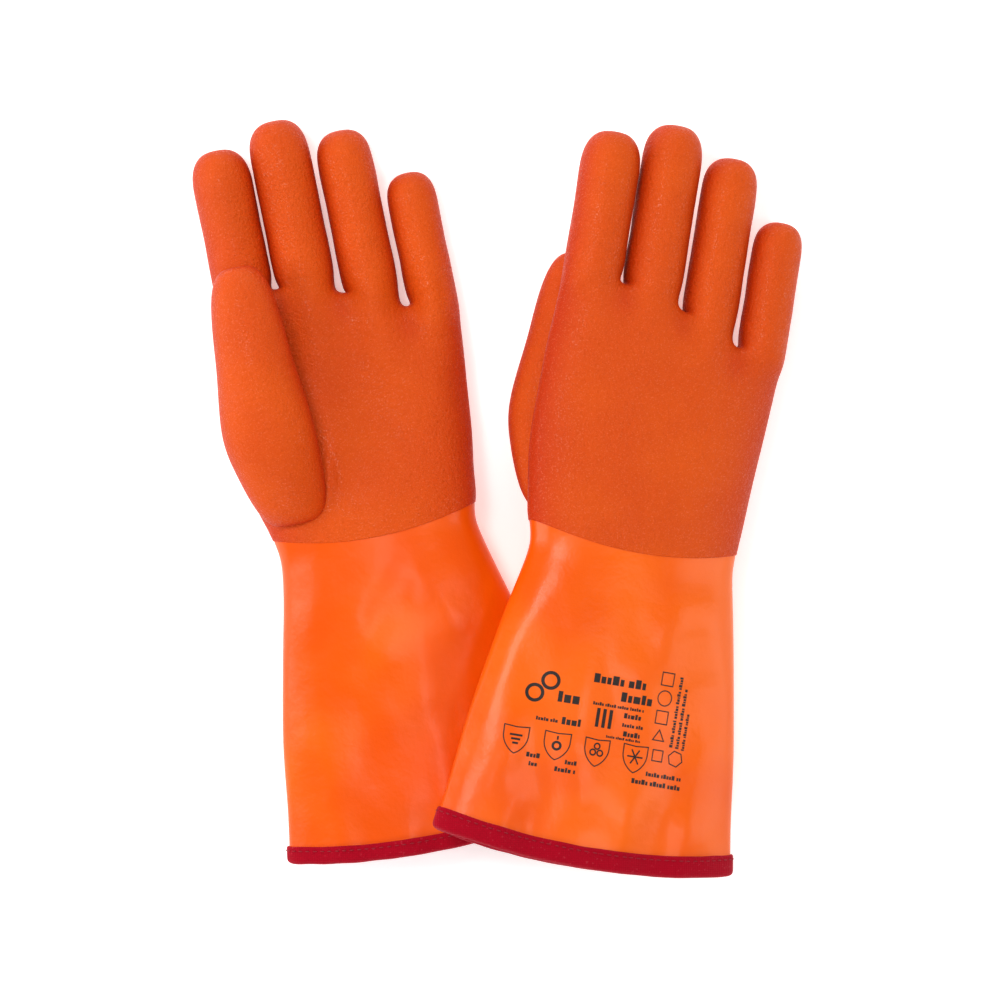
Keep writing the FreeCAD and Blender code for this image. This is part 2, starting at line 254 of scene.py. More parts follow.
def makePrintInk():
    # black screen-print ink, slightly broken where it lies on the skin
    finish = Finish("printInk")
    worn = finish.ramp(finish.speckle(1300.0, 2.0), 0.42, 0.62)
    colour = finish.blendColours(worn, (0.012, 0.008, 0.006), (0.035, 0.012, 0.006))
    return finish.dress(Base_Color=colour, Roughness=0.42 + worn * 0.15,
                        Normal=finish.bump(worn, 0.00004, 0.5))


glossyPvc = makeGlossyPvc()
gripCoat = makeGripCoat()
bindingTape = makeBindingTape()
seamThread = makeSeamThread()
fleece = makeFleece()
printInk = makePrintInk()
print("materials made")


# a glove's own frame, read from its joints

def gloveMatrix(hand):
    # glove millimetres to metres in the frame; the right glove's z points out of its palm too
    side = hands[hand]
    bend = joints[hand + "_wrist_bend"]
    across = Vector(bend["axis"]).normalized()
    swing = Vector(joints[hand + "_thumb_swing"]["axis"])
    up = (across * swing.dot(across) - swing).normalized()
    along = up.cross(across)
    origin = Vector(bend["pos_m"]) + along * mm - up * (side * wristHeight * mm)
    turn = Matrix((across, along, up * side)).transposed().to_4x4()
    return Matrix.Translation(origin) @ turn @ Matrix.Scale(mm, 4)


toWorld = {hand: gloveMatrix(hand) for hand in hands}


def localBox(hand, node):
    # a CAD node's box in its glove's own frame
    toGlove = toWorld[hand].inverted()
    points = [toGlove @ vertex.co for vertex in frame["nodes"][node].data.vertices]
    low = Vector([min(point[axis] for point in points) for axis in range(3)])
    high = Vector([max(point[axis] for point in points) for axis in range(3)])
    return low, high


def measureFingers(hand):
    # places and radii of the fingers, read from their CAD nodes and hinges
    found = {}
    for finger in fingerNames:
        low, high = localBox(hand, "%s_%s_skin" % (hand, finger))
        pivot = toWorld[hand].inverted() @ Vector(joints["%s_%s_curl" % (hand, finger)]["pos_m"])
        found[finger] = {"across": (low.x + high.x) / 2, "radius": (high.x - low.x) / 2,
                         "height": (low.z + high.z) / 2, "tip": high.y, "pivot": pivot.y,
                         "flexStart": 2 * pivot.y - low.y, "flexEnd": low.y}
    return found


def smoothStep(value, low, high):
    share = min(1.0, max(0.0, (value - low) / (high - low)))
    return share * share * (3 - 2 * share)


def between(value, places, amounts):
    # smooth reading of a list of stations
    if value <= places[0]:
        return amounts[0]
    if value >= places[-1]:
        return amounts[-1]
    step = max(index for index, place in enumerate(places) if place <= value)
    width = places[step + 1] - places[step]
    share = (value - places[step]) / width

    def slope(index):
        low, high = max(index - 1, 0), min(index + 1, len(places) - 1)
        return (amounts[high] - amounts[low]) / (places[high] - places[low]) * width

    first, second = amounts[step], amounts[step + 1]
    fall = second - first
    return (first + slope(step) * share * (1 - share) ** 2 + fall * share * share * (3 - 2 * share)
            - slope(step + 1) * share * share * (1 - share))


def bell(value, centre, width):
    return math.exp(-((value - centre) / width) ** 2)


def swell(point, grain, seed):
    return noise.noise(Vector((point.x / grain + seed, point.y / grain, point.z / grain)))


# turning bmeshes into pieces

def settle(bm, name, hand, finish):
    # glove millimetres to a piece in the frame, faces outwards
    bm.transform(toWorld[hand])
    bmesh.ops.recalc_face_normals(bm, faces=bm.faces)
    mesh = bpy.data.meshes.new(name)
    bm.to_mesh(mesh)
    bm.free()
    mesh.shade_smooth()
    piece = bpy.data.objects.new(name, mesh)
    bpy.context.scene.collection.objects.link(piece)
    mesh.materials.append(finish)
    return piece


def subdivided(bm, levels):
    # the bmesh with Subdivision Surface applied
    mesh = bpy.data.meshes.new("cage")
    bm.to_mesh(mesh)
    bm.free()
    holder = bpy.data.objects.new("cage", mesh)
    bpy.context.scene.collection.objects.link(holder)
    modifier = holder.modifiers.new("smooth", "SUBSURF")
    modifier.levels = levels
    modifier.render_levels = levels
    result = holder.evaluated_get(bpy.context.evaluated_depsgraph_get()).to_mesh()
    smooth = bmesh.new()
    smooth.from_mesh(result)
    bpy.data.objects.remove(holder)
    bpy.data.meshes.remove(mesh)
    return smooth


def extrudeRing(bm, edges, step):
    # the new ring's corners and edges
    grown = bmesh.ops.extrude_edge_only(bm, edges=edges)["geom"]
    verts = [item for item in grown if isinstance(item, bmesh.types.BMVert)]
    bmesh.ops.translate(bm, verts=verts, vec=step)
    return verts, [item for item in grown if isinstance(item, bmesh.types.BMEdge)
                   and item.verts[0] in verts and item.verts[1] in verts]


# the outer form of the cuff and wrist

cuff = {
    "places": [-158.0, -125.0, -90.0, -46.0, -26.0, -10.0, -3.0, 8.0, 20.0, 32.0],
    "leftMiddles": [0.0, 0.0, 0.0, -0.2, -0.6, -1.2, -1.6, -1.5, -2.6, -3.2],
    "leftHalfWidths": [74.8, 69.2, 64.5, 55.4, 50.6, 47.4, 46.9, 49.2, 51.8, 54.2],
    "rightMiddles": [0.0, 0.0, 0.2, 0.9, 1.6, 1.9, 1.5, 0.3, -0.3, -1.2],
    "rightHalfWidths": [74.8, 69.4, 65.0, 57.3, 53.2, 49.9, 49.4, 51.2, 52.8, 54.6],
    "halfHeights": [15.5, 16.0, 17.0, 18.5, 19.2, 19.4, 19.4, 19.7, 19.3, 18.6],
    "centres": [15.7, 16.2, 16.7, 17.7, 18.4, 18.9, 19.0, 19.2, 18.6, 18.0],
    "fullness": 2.15,
    "bowRadius": 354.0,
    "mouth": {"left": 152.1, "right": 150.9},
    "coatEdge": 4.5,
    "wall": 2.0,
    "flex": (-10.0, 8.0),
}


def mouthEdge(hand, x):
    # where the bowed mouth edge lies, seen from above
    radius = cuff["bowRadius"]
    return radius - cuff["mouth"][hand] - math.sqrt(radius * radius - x * x)


def ovalPoint(hand, y, angle, offset):
    # a point of the cuff's rounded oval at one distance along it
    halfWidth = between(y, cuff["places"], cuff[hand + "HalfWidths"]) + offset
    halfHeight = between(y, cuff["places"], cuff["halfHeights"]) + offset
    centre = between(y, cuff["places"], cuff["centres"])
    power = 2 / cuff["fullness"]
    cosine, sine = math.cos(angle), math.sin(angle)
    x = between(y, cuff["places"], cuff[hand + "Middles"])
    x += halfWidth * math.copysign(abs(cosine) ** power, cosine)
    z = centre + halfHeight * math.copysign(abs(sine) ** power, sine)
    return x, z


def cuffDent(hand, x, y, upper):
    # how far the upper or lower face of the cuff is pushed in or out: folds fan up from the mouth
    seed = 3.0 if hand == "left" else 11.0
    near = smoothStep(-y, 20.0, 140.0)
    inner = 1 - smoothStep(abs(x), 40.0, 72.0)
    place = Vector((x / 23.0 + seed, y / 95.0, upper * 5.0 + seed))
    folds = noise.noise(place) * 3.4 * near
    broad = noise.noise(Vector((x / 42.0, y / 48.0 + seed, upper * 3.0))) * 2.2
    small = noise.noise(Vector((x / 13.0, y / 20.0, seed + upper))) * 0.7
    fade = smoothStep(-y, 6.0, 30.0)
    return (folds + broad + small) * inner * fade


def cuffPoint(hand, angle, y, offset):
    x, z = ovalPoint(hand, y, angle, offset)
    sine = math.sin(angle)
    upper = 1 if sine > 0 else -1
    dent = cuffDent(hand, x, y, upper) * smoothStep(abs(sine), 0.0, 0.7)
    if upper < 0 and hand == "left":
        dent = max(0.0, dent) * 0.3
    return Vector((x, y, z + upper * dent))


def cuffTube(hand, profile, segments):
    # a ring for each (share along the cuff, past the mouth, offset) of the profile
    bm = bmesh.new()
    turn = Matrix.Rotation(math.radians(90), 4, "X")
    first = bmesh.ops.create_circle(bm, segments=segments, radius=1.0, matrix=turn)["verts"]
    edges = list(bm.edges)
    rings = [first]
    for step in profile[1:]:
        verts, edges = extrudeRing(bm, edges, (0, 0, 0))
        rings.append(verts)
    top = cuff["coatEdge"] + 1.5
    for ring, (share, past, offset) in zip(rings, profile):
        for vert in ring:
            angle = math.atan2(vert.co.z, vert.co.x)
            roughX, _ = ovalPoint(hand, -100.0, angle, offset)
            edge = mouthEdge(hand, roughX * (0.75 + 0.35 * share)) - past
            y = top + (edge - top) * share
            vert.co = cuffPoint(hand, angle, y, offset)
    return bm


def makeGauntlet(hand):
    # the glossy cuff: outer wall from under the coat to the mouth and the wall's inner face
    rows = 30
    profile = [(row / rows, 0.0, 0.0) for row in range(rows + 1)]
    profile += [((rows - row) / rows, 0.0, -cuff["wall"]) for row in range(rows + 1)]
    bm = cuffTube(hand, profile, 96)
    bmesh.ops.bridge_loops(bm, edges=[edge for edge in bm.edges if edge.is_boundary])
    piece = settle(subdivided(bm, 1), hand + "_gauntlet", hand, glossyPvc)
    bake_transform(piece)
    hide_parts(hand + "_cuff_skin", hand + "_wrist_sleeve")
    return piece


cuffLining = {
    "rows": 24,
    "reach": 0.95,
    "outside": -2.3,
    "inside": -5.2,
}


def makeCuffLining(hand):
    # a fleece sleeve from the mouth to just short of the wrist
    rows, reach = cuffLining["rows"], cuffLining["reach"]
    profile = [(1 - reach * row / rows, 1.0 if row == 0 else 0.0, cuffLining["outside"])
               for row in range(rows + 1)]
    profile += [(1 - reach * (rows - row) / rows, 0.0, cuffLining["inside"])
                for row in range(rows + 1)]
    bm = cuffTube(hand, profile, 96)
    bmesh.ops.bridge_loops(bm, edges=[edge for edge in bm.edges if edge.is_boundary])
    for vert in bm.verts:
        vert.co += vert.normal * 0.5 * swell(vert.co, 4.0, 9.0)
    piece = settle(bm, hand + "_cuff_fleece", hand, fleece)
    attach(piece, hand + "_cuff")
    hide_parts(hand + "_cuff_lining")
    return piece


binding = {
    "reach": {"left": 6.5, "right": 8.4},
    "wall": 1.3,
    "stitchLength": 2.3,
    "stitchGap": 1.3,
    "stitchWidth": 0.32,
    "stitchLift": 0.12,
    "seamInset": 2.1,
}


def makeBinding(hand):
    # tape folded over the mouth edge, with a rolled edge on each side
    reach, wall = binding["reach"][hand], binding["wall"]
    section = [(-reach, 0.1), (-reach - 0.15, wall * 0.6), (-reach + 0.5, wall * 1.05),
               (-reach * 0.55, wall * 0.9), (-1.0, wall), (0.6, wall * 0.75), (1.5, -0.4),
               (1.8, -2.8), (1.5, -5.2), (0.5, -6.3), (-1.0, -6.6), (-reach * 0.6, -6.5),
               (-reach + 0.5, -6.6), (-reach, -5.6)]
    bm = cuffTube(hand, [(1.0, past, offset) for past, offset in section], 144)
    for vert in bm.verts:
        vert.co.y += 0.25 * swell(vert.co, 9.0, 4.0)
        vert.co.z += 0.22 * swell(vert.co, 7.0, 8.0)
        if hand == "left":
            # this tape lies flat on the bench
            vert.co.z = max(vert.co.z, 0.0)
    piece = settle(subdivided(bm, 1), hand + "_binding_tape", hand, bindingTape)
    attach(piece, hand + "_cuff")
    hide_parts(hand + "_cuff_binding")
    return piece


def makeStitches(hand):
    # a row of short stitches all round, each a small sunken bead of thread
    bm = bmesh.new()
    fine = 720
    line = []
    for step in range(fine + 1):
        angle = 2 * math.pi * step / fine
        roughX, _ = ovalPoint(hand, -150.0, angle, binding["wall"])
        y = mouthEdge(hand, roughX) + binding["reach"][hand] - binding["seamInset"]
        line.append(cuffPoint(hand, angle, y, binding["wall"] + binding["stitchLift"]))
    pitch = binding["stitchLength"] + binding["stitchGap"]
    gone = 0.0
    for here, there in zip(line, line[1:]):
        gone += (there - here).length
        if gone < pitch:
            continue
        gone -= pitch
        along = (there - here).normalized().to_track_quat("Z", "Y").to_matrix().to_4x4()
        shape = Matrix.Diagonal((binding["stitchWidth"], binding["stitchWidth"],
                                 binding["stitchLength"] / 2, 1))
        bmesh.ops.create_uvsphere(bm, u_segments=6, v_segments=4, radius=1.0,
                                  matrix=Matrix.Translation(here) @ along @ shape)
    piece = settle(bm, hand + "_binding_stitches", hand, seamThread)
    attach(piece, hand + "_cuff")
    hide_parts(hand + "_binding_thread")
    return piece


# the hand: a grid across the knuckles, fingers drawn out one way and the palm the other

handForm = {
    "places": [8.0, 20.0, 38.0, 55.0, 72.0, 90.0, 103.0],
    "leftMiddles": [-1.5, -2.6, -3.4, -3.0, -1.4, -0.4, 1.5],
    "leftHalfWidths": [49.2, 51.8, 55.2, 56.0, 56.8, 58.0, 57.5],
    "rightMiddles": [0.3, -0.3, -1.6, -1.6, -0.8, -0.2, 1.5],
    "rightHalfWidths": [51.2, 52.8, 55.0, 56.2, 57.0, 58.2, 57.5],
    "halfHeights": [20.0, 19.3, 18.2, 17.4, 16.6, 15.8, 15.2],
    "centres": [19.2, 18.6, 17.6, 16.8, 16.2, 15.6, 15.0],
    # the last row lies on the coat's edge
    "rows": [103.0, 92.0, 80.0, 66.0, 52.0, 38.0, 26.0, 16.0, 8.0, 2.0, -4.0, -9.0],
    "rowsFollowFrom": 20.0,
    "knuckleGap": 10.0,
    "squeezeFrom": 12.0,
    "crotches": [(-25.4, 120.0), (4.1, 112.5), (32.9, 99.5)],
    "ringShrink": (4 + 2 * math.cos(math.radians(45))) / 6,
    "coat": 0.35,
    "fleece": 2.9,
    "fleeceReach": 7.0,
    "fleeceSnapBelow": 6.0,
    # how far in and how far back, for each step of the coat's turned-in edge
    "lip": [(0.25, 0.15), (0.7, -0.3)],
}


# share of the way from the crotch to the last joint, share of the radius
fingerRows = [(0.09, 1.0), (0.28, 1.0), (0.45, 0.985), (0.63, 0.985), (0.82, 1.0), (1.0, 1.0),
              (1.52, 0.87), (1.86, 0.52)]


def coatEdge(x):
    # the over-coat's lower edge, bowed towards the cuff in the middle
    return cuff["coatEdge"] - 8.0 * (1 - min(1.0, (x / 52.0) ** 2))


def growHandCage():
    # counts only, until placed: x is the grid line 0 to 11, z the row 0 to 2, y the step
    bm = bmesh.new()
    turn = Matrix.Rotation(math.radians(90), 4, "X")
    bmesh.ops.create_grid(bm, x_segments=11, y_segments=2, size=1.0, matrix=turn)
    for vert in bm.verts:
        vert.co = Vector((round((vert.co.x + 1) * 5.5), 0, round(vert.co.z + 1)))
    rim = [edge for edge in bm.edges if edge.is_boundary]
    for finger in range(4):
        block = [face for face in bm.faces if abs(face.calc_center_median().y) < 0.01
                 and finger * 3 < face.calc_center_median().x < finger * 3 + 2]
        for step in fingerRows:
            grown = bmesh.ops.extrude_face_region(bm, geom=block)["geom"]
            bmesh.ops.delete(bm, geom=[face for face in block if face.is_valid],
                             context="FACES_ONLY")
            verts = [item for item in grown if isinstance(item, bmesh.types.BMVert)]
            bmesh.ops.translate(bm, verts=verts, vec=(0, 1, 0))
            block = [item for item in grown if isinstance(item, bmesh.types.BMFace)]
    for step in handForm["rows"]:
        _, rim = extrudeRing(bm, rim, (0, -1, 0))
    loose = [vert for vert in bm.verts if not vert.link_faces]
    bmesh.ops.delete(bm, geom=loose, context="VERTS")
    return bm


def crotchHeight(x):
    # how far out the knuckle line lies at each place across
    crotches = handForm["crotches"]
    return between(x, [place for place, _ in crotches], [reach for _, reach in crotches])


def fingerPlace(finger, column, row, step, outer):
    # a cage corner of a finger's eight-sided ring, or of the knuckle line at step 0
    left, up = column - 1, row - 1
    radius = finger["radius"] / handForm["ringShrink"]
    corner = math.sqrt(0.5)
    x = left * (corner if up else 1.0) * radius
    z = up * (corner if left else 1.0) * radius
    if step == 0:
        limit = finger["radius"] * 0.86
        if left != outer:
            x = max(-limit, min(limit, x))
        y = crotchHeight(finger["across"] + x * 1.15)
        y += 3.0 if left == 0 else 0.0
        y -= 5.0 if left == outer else 0.0
        return Vector((finger["across"] + x, y, finger["height"] + z * 0.98))
    reach, share = fingerRows[step - 1]
    base = crotchHeight(finger["across"])
    centre = finger["tip"] - finger["radius"]
    if reach <= 1.0:
        y = base + (centre - base) * reach
    else:
        y = centre + finger["radius"] * (reach - 1.0) * 1.06
    if step == len(fingerRows) and left == 0 and up == 0:
        y += 1.0
    return Vector((finger["across"] + x * share, y, finger["height"] + z * share))


def palmPlace(hand, fingers, column, row, step):
    # a cage corner of the palm's rings: the knuckles' spacing turns into an even oval
    finger = fingers[fingerNames[column // 3]]
    x = finger["across"] + (column % 3 - 1) * finger["radius"] * 0.72
    y = handForm["rows"][step - 1]
    highest, lowest = handForm["rows"][0], handForm["rowsFollowFrom"]
    if y > lowest:
        room = crotchHeight(x) - handForm["knuckleGap"] - lowest
        y = lowest + (y - lowest) * room / (highest - lowest)
    stations = handForm["places"]
    middle = between(y, stations, handForm[hand + "Middles"])
    halfWidth = between(y, stations, handForm[hand + "HalfWidths"]) / 0.99
    halfHeight = between(y, stations, handForm["halfHeights"]) / 0.99
    centre = between(y, stations, handForm["centres"])
    angle = 180.0 - (column + 1) * 180.0 / 13
    if row == 1:
        angle = 180.0 if column == 0 else 0.0
    even = math.radians(-angle if row == 0 else angle)
    power = 2 / cuff["fullness"]
    evenX = middle + halfWidth * math.copysign(abs(math.cos(even)) ** power, math.cos(even))
    evenZ = centre + halfHeight * math.copysign(abs(math.sin(even)) ** power, math.sin(even))
    if row == 1:
        x = middle + (halfWidth if column else -halfWidth)
    depth = max(0.0, 1 - abs((x - middle) / halfWidth) ** 2.4) ** (1 / 2.4)
    z = centre + (row - 1) * halfHeight * depth
    share = smoothStep(handForm["rows"][step - 1], 12.0, 92.0)
    return Vector((evenX + (x - evenX) * share, y, evenZ + (z - evenZ) * share))


def snapToWrist(hand, point, offset):
    # moves a point near the wrist onto the cuff's oval, so that coat and cuff fit
    share = 1 - smoothStep(point.y, 6.0, 30.0)
    if share <= 0:
        return point
    halfWidth = between(point.y, cuff["places"], cuff[hand + "HalfWidths"]) + offset
    halfHeight = between(point.y, cuff["places"], cuff["halfHeights"]) + offset
    centre = between(point.y, cuff["places"], cuff["centres"])
    middle = between(point.y, cuff["places"], cuff[hand + "Middles"])
    power = cuff["fullness"]
    x, z = point.x - middle, point.z - centre
    size = (abs(x / halfWidth) ** power + abs(z / halfHeight) ** power) ** (1 / power)
    snapped = Vector((middle + x / size, point.y, centre + z / size))
    return point.lerp(snapped, share)


def palmShape(hand, fingers, point):
    # soft hollows and pads, and ridges that run from the fingers into the hand
    centre = between(point.y, handForm["places"], handForm["centres"])
    upper = smoothStep(point.z - centre, -2.0, 10.0)
    lower = smoothStep(centre - point.z, -2.0, 10.0)
    onHand = smoothStep(point.y, 4.0, 26.0) * (1 - smoothStep(point.y, 118.0, 150.0))
    seed = 2.0 if hand == "left" else 7.0
    lift = swell(point, 34.0, seed) * 0.9 + swell(point, 15.0, seed) * 0.35
    ridges = sum(bell(point.x, finger["across"], 9.5) for finger in fingers.values()) - 0.45
    fan = smoothStep(point.y, 62.0, 96.0) * (1 - smoothStep(point.y, 106.0, 124.0))
    lift += ridges * fan * (3.4 if hand == "left" else 2.8)
    if hand == "left":
        hollow = bell(point.x, 6.0, 24.0) * bell(point.y, 62.0, 30.0)
        heel = bell(point.x, 32.0, 14.0) * bell(point.y, 38.0, 24.0)
        fold = bell(point.x, -12.0, 3.5) * bell(point.y, 28.0, 16.0)
        lift += heel * 1.2 - hollow * 2.4 + fold * 1.1
    point.z += lift * onHand * (upper - 0.3 * lower)
    return point


def shapedHand(hand, fingers, levels, offset):
    # the cage placed, smoothed and shaped; offset moves it outwards, or inwards for a lining
    squeezed, last = handForm["squeezeFrom"], handForm["rows"][-1]
    bm = growHandCage()
    for vert in bm.verts:
        column, step, row = round(vert.co.x), round(vert.co.y), round(vert.co.z)
        if step >= 0:
            outer = {0: -1, 11: 1}.get(column, 5)
            vert.co = fingerPlace(fingers[fingerNames[column // 3]], column % 3, row, step, outer)
        else:
            vert.co = palmPlace(hand, fingers, column, row, -step)
    bm = subdivided(bm, levels)
    bmesh.ops.recalc_face_normals(bm, faces=bm.faces)
    for vert in bm.verts:
        vert.co = palmShape(hand, fingers, vert.co)
        if vert.co.y < squeezed:
            edge = coatEdge(vert.co.x)
            vert.co.y = squeezed + (vert.co.y - squeezed) * (squeezed - edge) / (squeezed - last)
        vert.co = snapToWrist(hand, vert.co, handForm["coat"])
        finger = fingers[nearestFinger(fingers, vert.co.x)]
        out = smoothStep(vert.co.y, finger["flexStart"] - 12, finger["flexStart"] + 4)
        vert.co.z += out * 0.35 * swell(vert.co, 11.0, 5.0)
        vert.co.x += out * 0.25 * swell(vert.co, 13.0, 1.0)
    markPaintedShade(bm, fingers)
    bm.normal_update()
    for vert in bm.verts:
        vert.co += vert.normal * offset
    return bm


def markPaintedShade(bm, fingers):
    # painted shade mask: 0 on the crests, 1 along the sides of the fingers, down the palm's edges and
    # in the crotches, where the coat's colour is painted darker
    side = bm.verts.layers.float.new("side")
    for vert in bm.verts:
        point = vert.co
        finger = fingers[nearestFinger(fingers, point.x)]
        knuckle = crotchHeight(point.x)
        onFinger = smoothStep(point.y, knuckle - 16.0, knuckle + 4.0)
        centre = between(point.y, handForm["places"], handForm["centres"])
        half = between(point.y, handForm["places"], handForm["halfHeights"])
        centre += (finger["height"] - centre) * onFinger
        half += (finger["radius"] - half) * onFinger
        crest = min(1.0, abs(point.z - centre) / half)
        crotch = max(bell(point.x, x, 5.5) * bell(point.y, y - 4.0, 9.0)
                     for x, y in handForm["crotches"])
        vert[side] = min(1.0, 1 - smoothStep(crest, 0.2, 0.97) + 0.9 * crotch * (1 - onFinger))


def cutHand(hand, bm, ending, finish):
    # one smooth form, cut where the fingers start to flex; the cuts keep its shading
    fingers = measureFingers(hand)
    bm.normal_update()
    owners = [ownerOf(fingers, face.calc_center_median()) for face in bm.faces]
    bm.transform(toWorld[hand])
    bm.normal_update()
    if toWorld[hand].determinant() < 0:
        bmesh.ops.reverse_faces(bm, faces=bm.faces)
        bm.normal_update()
    whole = bpy.data.meshes.new(hand + "Whole")
    bm.to_mesh(whole)
    normals = [tuple(vert.normal) for vert in bm.verts]
    bm.free()
    pieces = {}
    for owner in ["hand"] + fingerNames:
        part = bmesh.new()
        part.from_mesh(whole)
        tag = part.verts.layers.int.new("whole")
        for vert in part.verts:
            vert[tag] = vert.index
        away = [face for face, name in zip(part.faces, owners) if name != owner]
        bmesh.ops.delete(part, geom=away, context="FACES")
        own = [normals[vert[tag]] for vert in part.verts]
        part.verts.layers.int.remove(tag)
        name = "%s_%s_%s" % (hand, owner, ending)
        mesh = bpy.data.meshes.new(name)
        part.to_mesh(mesh)
        part.free()
        mesh.shade_smooth()
        mesh.normals_split_custom_set_from_vertices(own)
        mesh.materials.append(finish)
        pieces[owner] = bpy.data.objects.new(name, mesh)
        bpy.context.scene.collection.objects.link(pieces[owner])
    bpy.data.meshes.remove(whole)
    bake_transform(pieces["hand"])
    for name in fingerNames:
        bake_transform(pieces[name])
    return pieces


def nearestFinger(fingers, x):
    return min(fingers, key=lambda name: abs(fingers[name]["across"] - x))


def ownerOf(fingers, centre):
    name = nearestFinger(fingers, centre.x)
    return name if centre.y > fingers[name]["flexStart"] else "hand"


def makeHand(hand):
    # the coat, its lower edge turned in by a thin lip
    fingers = measureFingers(hand)
    bm = shapedHand(hand, fingers, 3, 0.0)
    rim = [edge for edge in bm.edges if edge.is_boundary]
    for inset, back in handForm["lip"]:
        verts, rim = extrudeRing(bm, rim, (0, 0, 0))
        for vert in verts:
            centre = between(vert.co.y, cuff["places"], cuff["centres"])
            vert.co += Vector((-vert.co.x, 0, centre - vert.co.z)).normalized() * inset
            vert.co.y -= back
    pieces = cutHand(hand, bm, "coat", gripCoat)
    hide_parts(hand + "_hand_skin")
    for name in fingerNames:
        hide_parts("%s_%s_skin" % (hand, name), "%s_%s_sleeve" % (hand, name))


def makeHandFleece(hand):
    # the lining, the same form a little smaller and turned inside out
    fingers = measureFingers(hand)
    bm = shapedHand(hand, fingers, 2, -handForm["fleece"])
    rim = [edge for edge in bm.edges if edge.is_boundary]
    extrudeRing(bm, rim, (0, -handForm["fleeceReach"], 0))
    for vert in bm.verts:
        if vert.co.y < handForm["fleeceSnapBelow"]:
            vert.co = snapToWrist(hand, vert.co, handForm["coat"] - handForm["fleece"])
    bmesh.ops.reverse_faces(bm, faces=bm.faces)
    pieces = cutHand(hand, bm, "fleece", fleece)
    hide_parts(hand + "_hand_lining")
    for name in fingerNames:
        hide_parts("%s_%s_lining" % (hand, name))


thumbForm = {
    "across": -41.0,
    # distance, middle, half width, share of half height, how far the axis sinks
    "rows": [(9.5, -36.5, 9.8, 0.40, 15.5), (13.5, -36.8, 14.2, 0.64, 13.8),
             (22.0, -37.8, 17.4, 0.84, 11.0), (34.0, -39.4, 19.9, 0.98, 7.5),
             (50.0, -41.2, 21.8, 1.07, 2.5), (66.0, -41.4, 20.7, 1.05, 0.6),
             (84.0, -41.2, 18.6, 1.0, 0.0), (102.0, -41.2, 16.7, 0.96, 0.3),
             (116.0, -41.0, 15.2, 0.88, 0.8), (126.0, -40.8, 12.7, 0.72, 1.4),
             (132.6, -40.8, 8.0, 0.45, 2.0)],
    "segments": 16,
    "flex": (50.0, 72.0),
}


def makeThumb(hand, inward):
    # the thumb lying over the palm, its root sunk into the palm's heel
    low, high = localBox(hand, hand + "_thumb_skin")
    centre, half = (low.z + high.z) / 2, (high.z - low.z) / 2
    bm = bmesh.new()
    turn = Matrix.Rotation(math.radians(90), 4, "X")
    rings = [bmesh.ops.create_circle(bm, cap_ends=True, segments=thumbForm["segments"],
                                     radius=1.0, matrix=turn)["verts"]]
    edges = list(bm.edges)
    for row in thumbForm["rows"][1:]:
        verts, edges = extrudeRing(bm, edges, (0, 0, 0))
        rings.append(verts)
    shrink = (4 + 2 * math.cos(2 * math.pi / thumbForm["segments"])) / 6
    for ring, (y, middle, halfWidth, share, sink) in zip(rings, thumbForm["rows"]):
        for vert in ring:
            angle = math.atan2(vert.co.z, vert.co.x)
            vert.co = Vector((middle + halfWidth / shrink * math.cos(angle), y,
                              centre - sink + half * share / shrink * math.sin(angle)))
    bmesh.ops.edgeloop_fill(bm, edges=edges)
    bmesh.ops.poke(bm, faces=[face for face in bm.faces if len(face.verts) > 4])
    bm = subdivided(bm, 2 if inward else 3)
    for vert in bm.verts:
        vert.co.z += 0.5 * swell(vert.co, 16.0, 6.0)
        vert.co.x += 0.5 * swell(vert.co, 24.0, 2.0)
    bmesh.ops.recalc_face_normals(bm, faces=bm.faces)
    bm.normal_update()
    for vert in bm.verts:
        vert.co -= vert.normal * inward
    # painted shade mask read by the coat: the thumb is coloured darker where its surface turns from
    # facing up or down to facing sideways
    side = bm.verts.layers.float.new("side")
    for vert in bm.verts:
        vert[side] = 1 - smoothStep(abs(vert.normal.z), 0.1, 0.85)
    ending, finish = ("fleece", fleece) if inward else ("coat", gripCoat)
    piece = settle(bm, "%s_thumb_%s" % (hand, ending), hand, finish)
    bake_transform(piece)
    if inward:
        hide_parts(hand + "_thumb_lining")
        return piece
    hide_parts(hand + "_thumb_skin", hand + "_thumb_sleeve")
    return piece


# generic print on the right cuff: shield outlines, plain symbols and bars, no lettering

printMarks = {
    "shift": (-4.8, 0.0),
    "shieldRow": -98.6,
    "shields": [-39.1, -19.8, -0.9, 17.8],
    "shieldWidth": 12.4,
    "shieldHeight": 13.4,
    "line": 0.5,
    # centre across, centre along, width, height of each row of blocks
    "rows": [(5.6, -64.2, 26.0, 4.2), (14.7, -71.0, 15.5, 4.4), (6.4, -75.9, 25.0, 1.5),
             (-26.1, -87.0, 10.0, 1.7), (-14.2, -86.4, 10.0, 3.4), (14.2, -79.4, 9.0, 2.4),
             (14.5, -83.8, 10.0, 1.7), (14.6, -87.8, 8.0, 2.4), (10.9, -90.3, 16.5, 1.2),
             (-29.4, -104.4, 7.0, 2.2), (-28.8, -108.4, 4.6, 2.0), (-12.0, -105.2, 5.6, 2.0),
             (-14.2, -109.0, 9.5, 2.2), (33.4, -104.4, 18.0, 2.0), (30.6, -108.6, 25.5, 2.3)],
    # the same, running up the cuff
    "columns": [(35.0, -73.9, 33.0, 1.7), (38.2, -76.3, 28.6, 1.7), (41.2, -81.9, 18.2, 1.5)],
    # centre across, centre along, radius, corners
    "icons": [(28.0, -59.4, 4.6, 4), (28.0, -68.4, 3.8, 20), (28.1, -77.4, 4.6, 4),
              (28.0, -86.6, 3.8, 3), (28.9, -95.3, 4.0, 4), (38.2, -95.4, 4.0, 6)],
    "tallBars": (0.3, -82.3),
    "emblem": (-30.5, -72.5),
    "lift": 0.06,
}


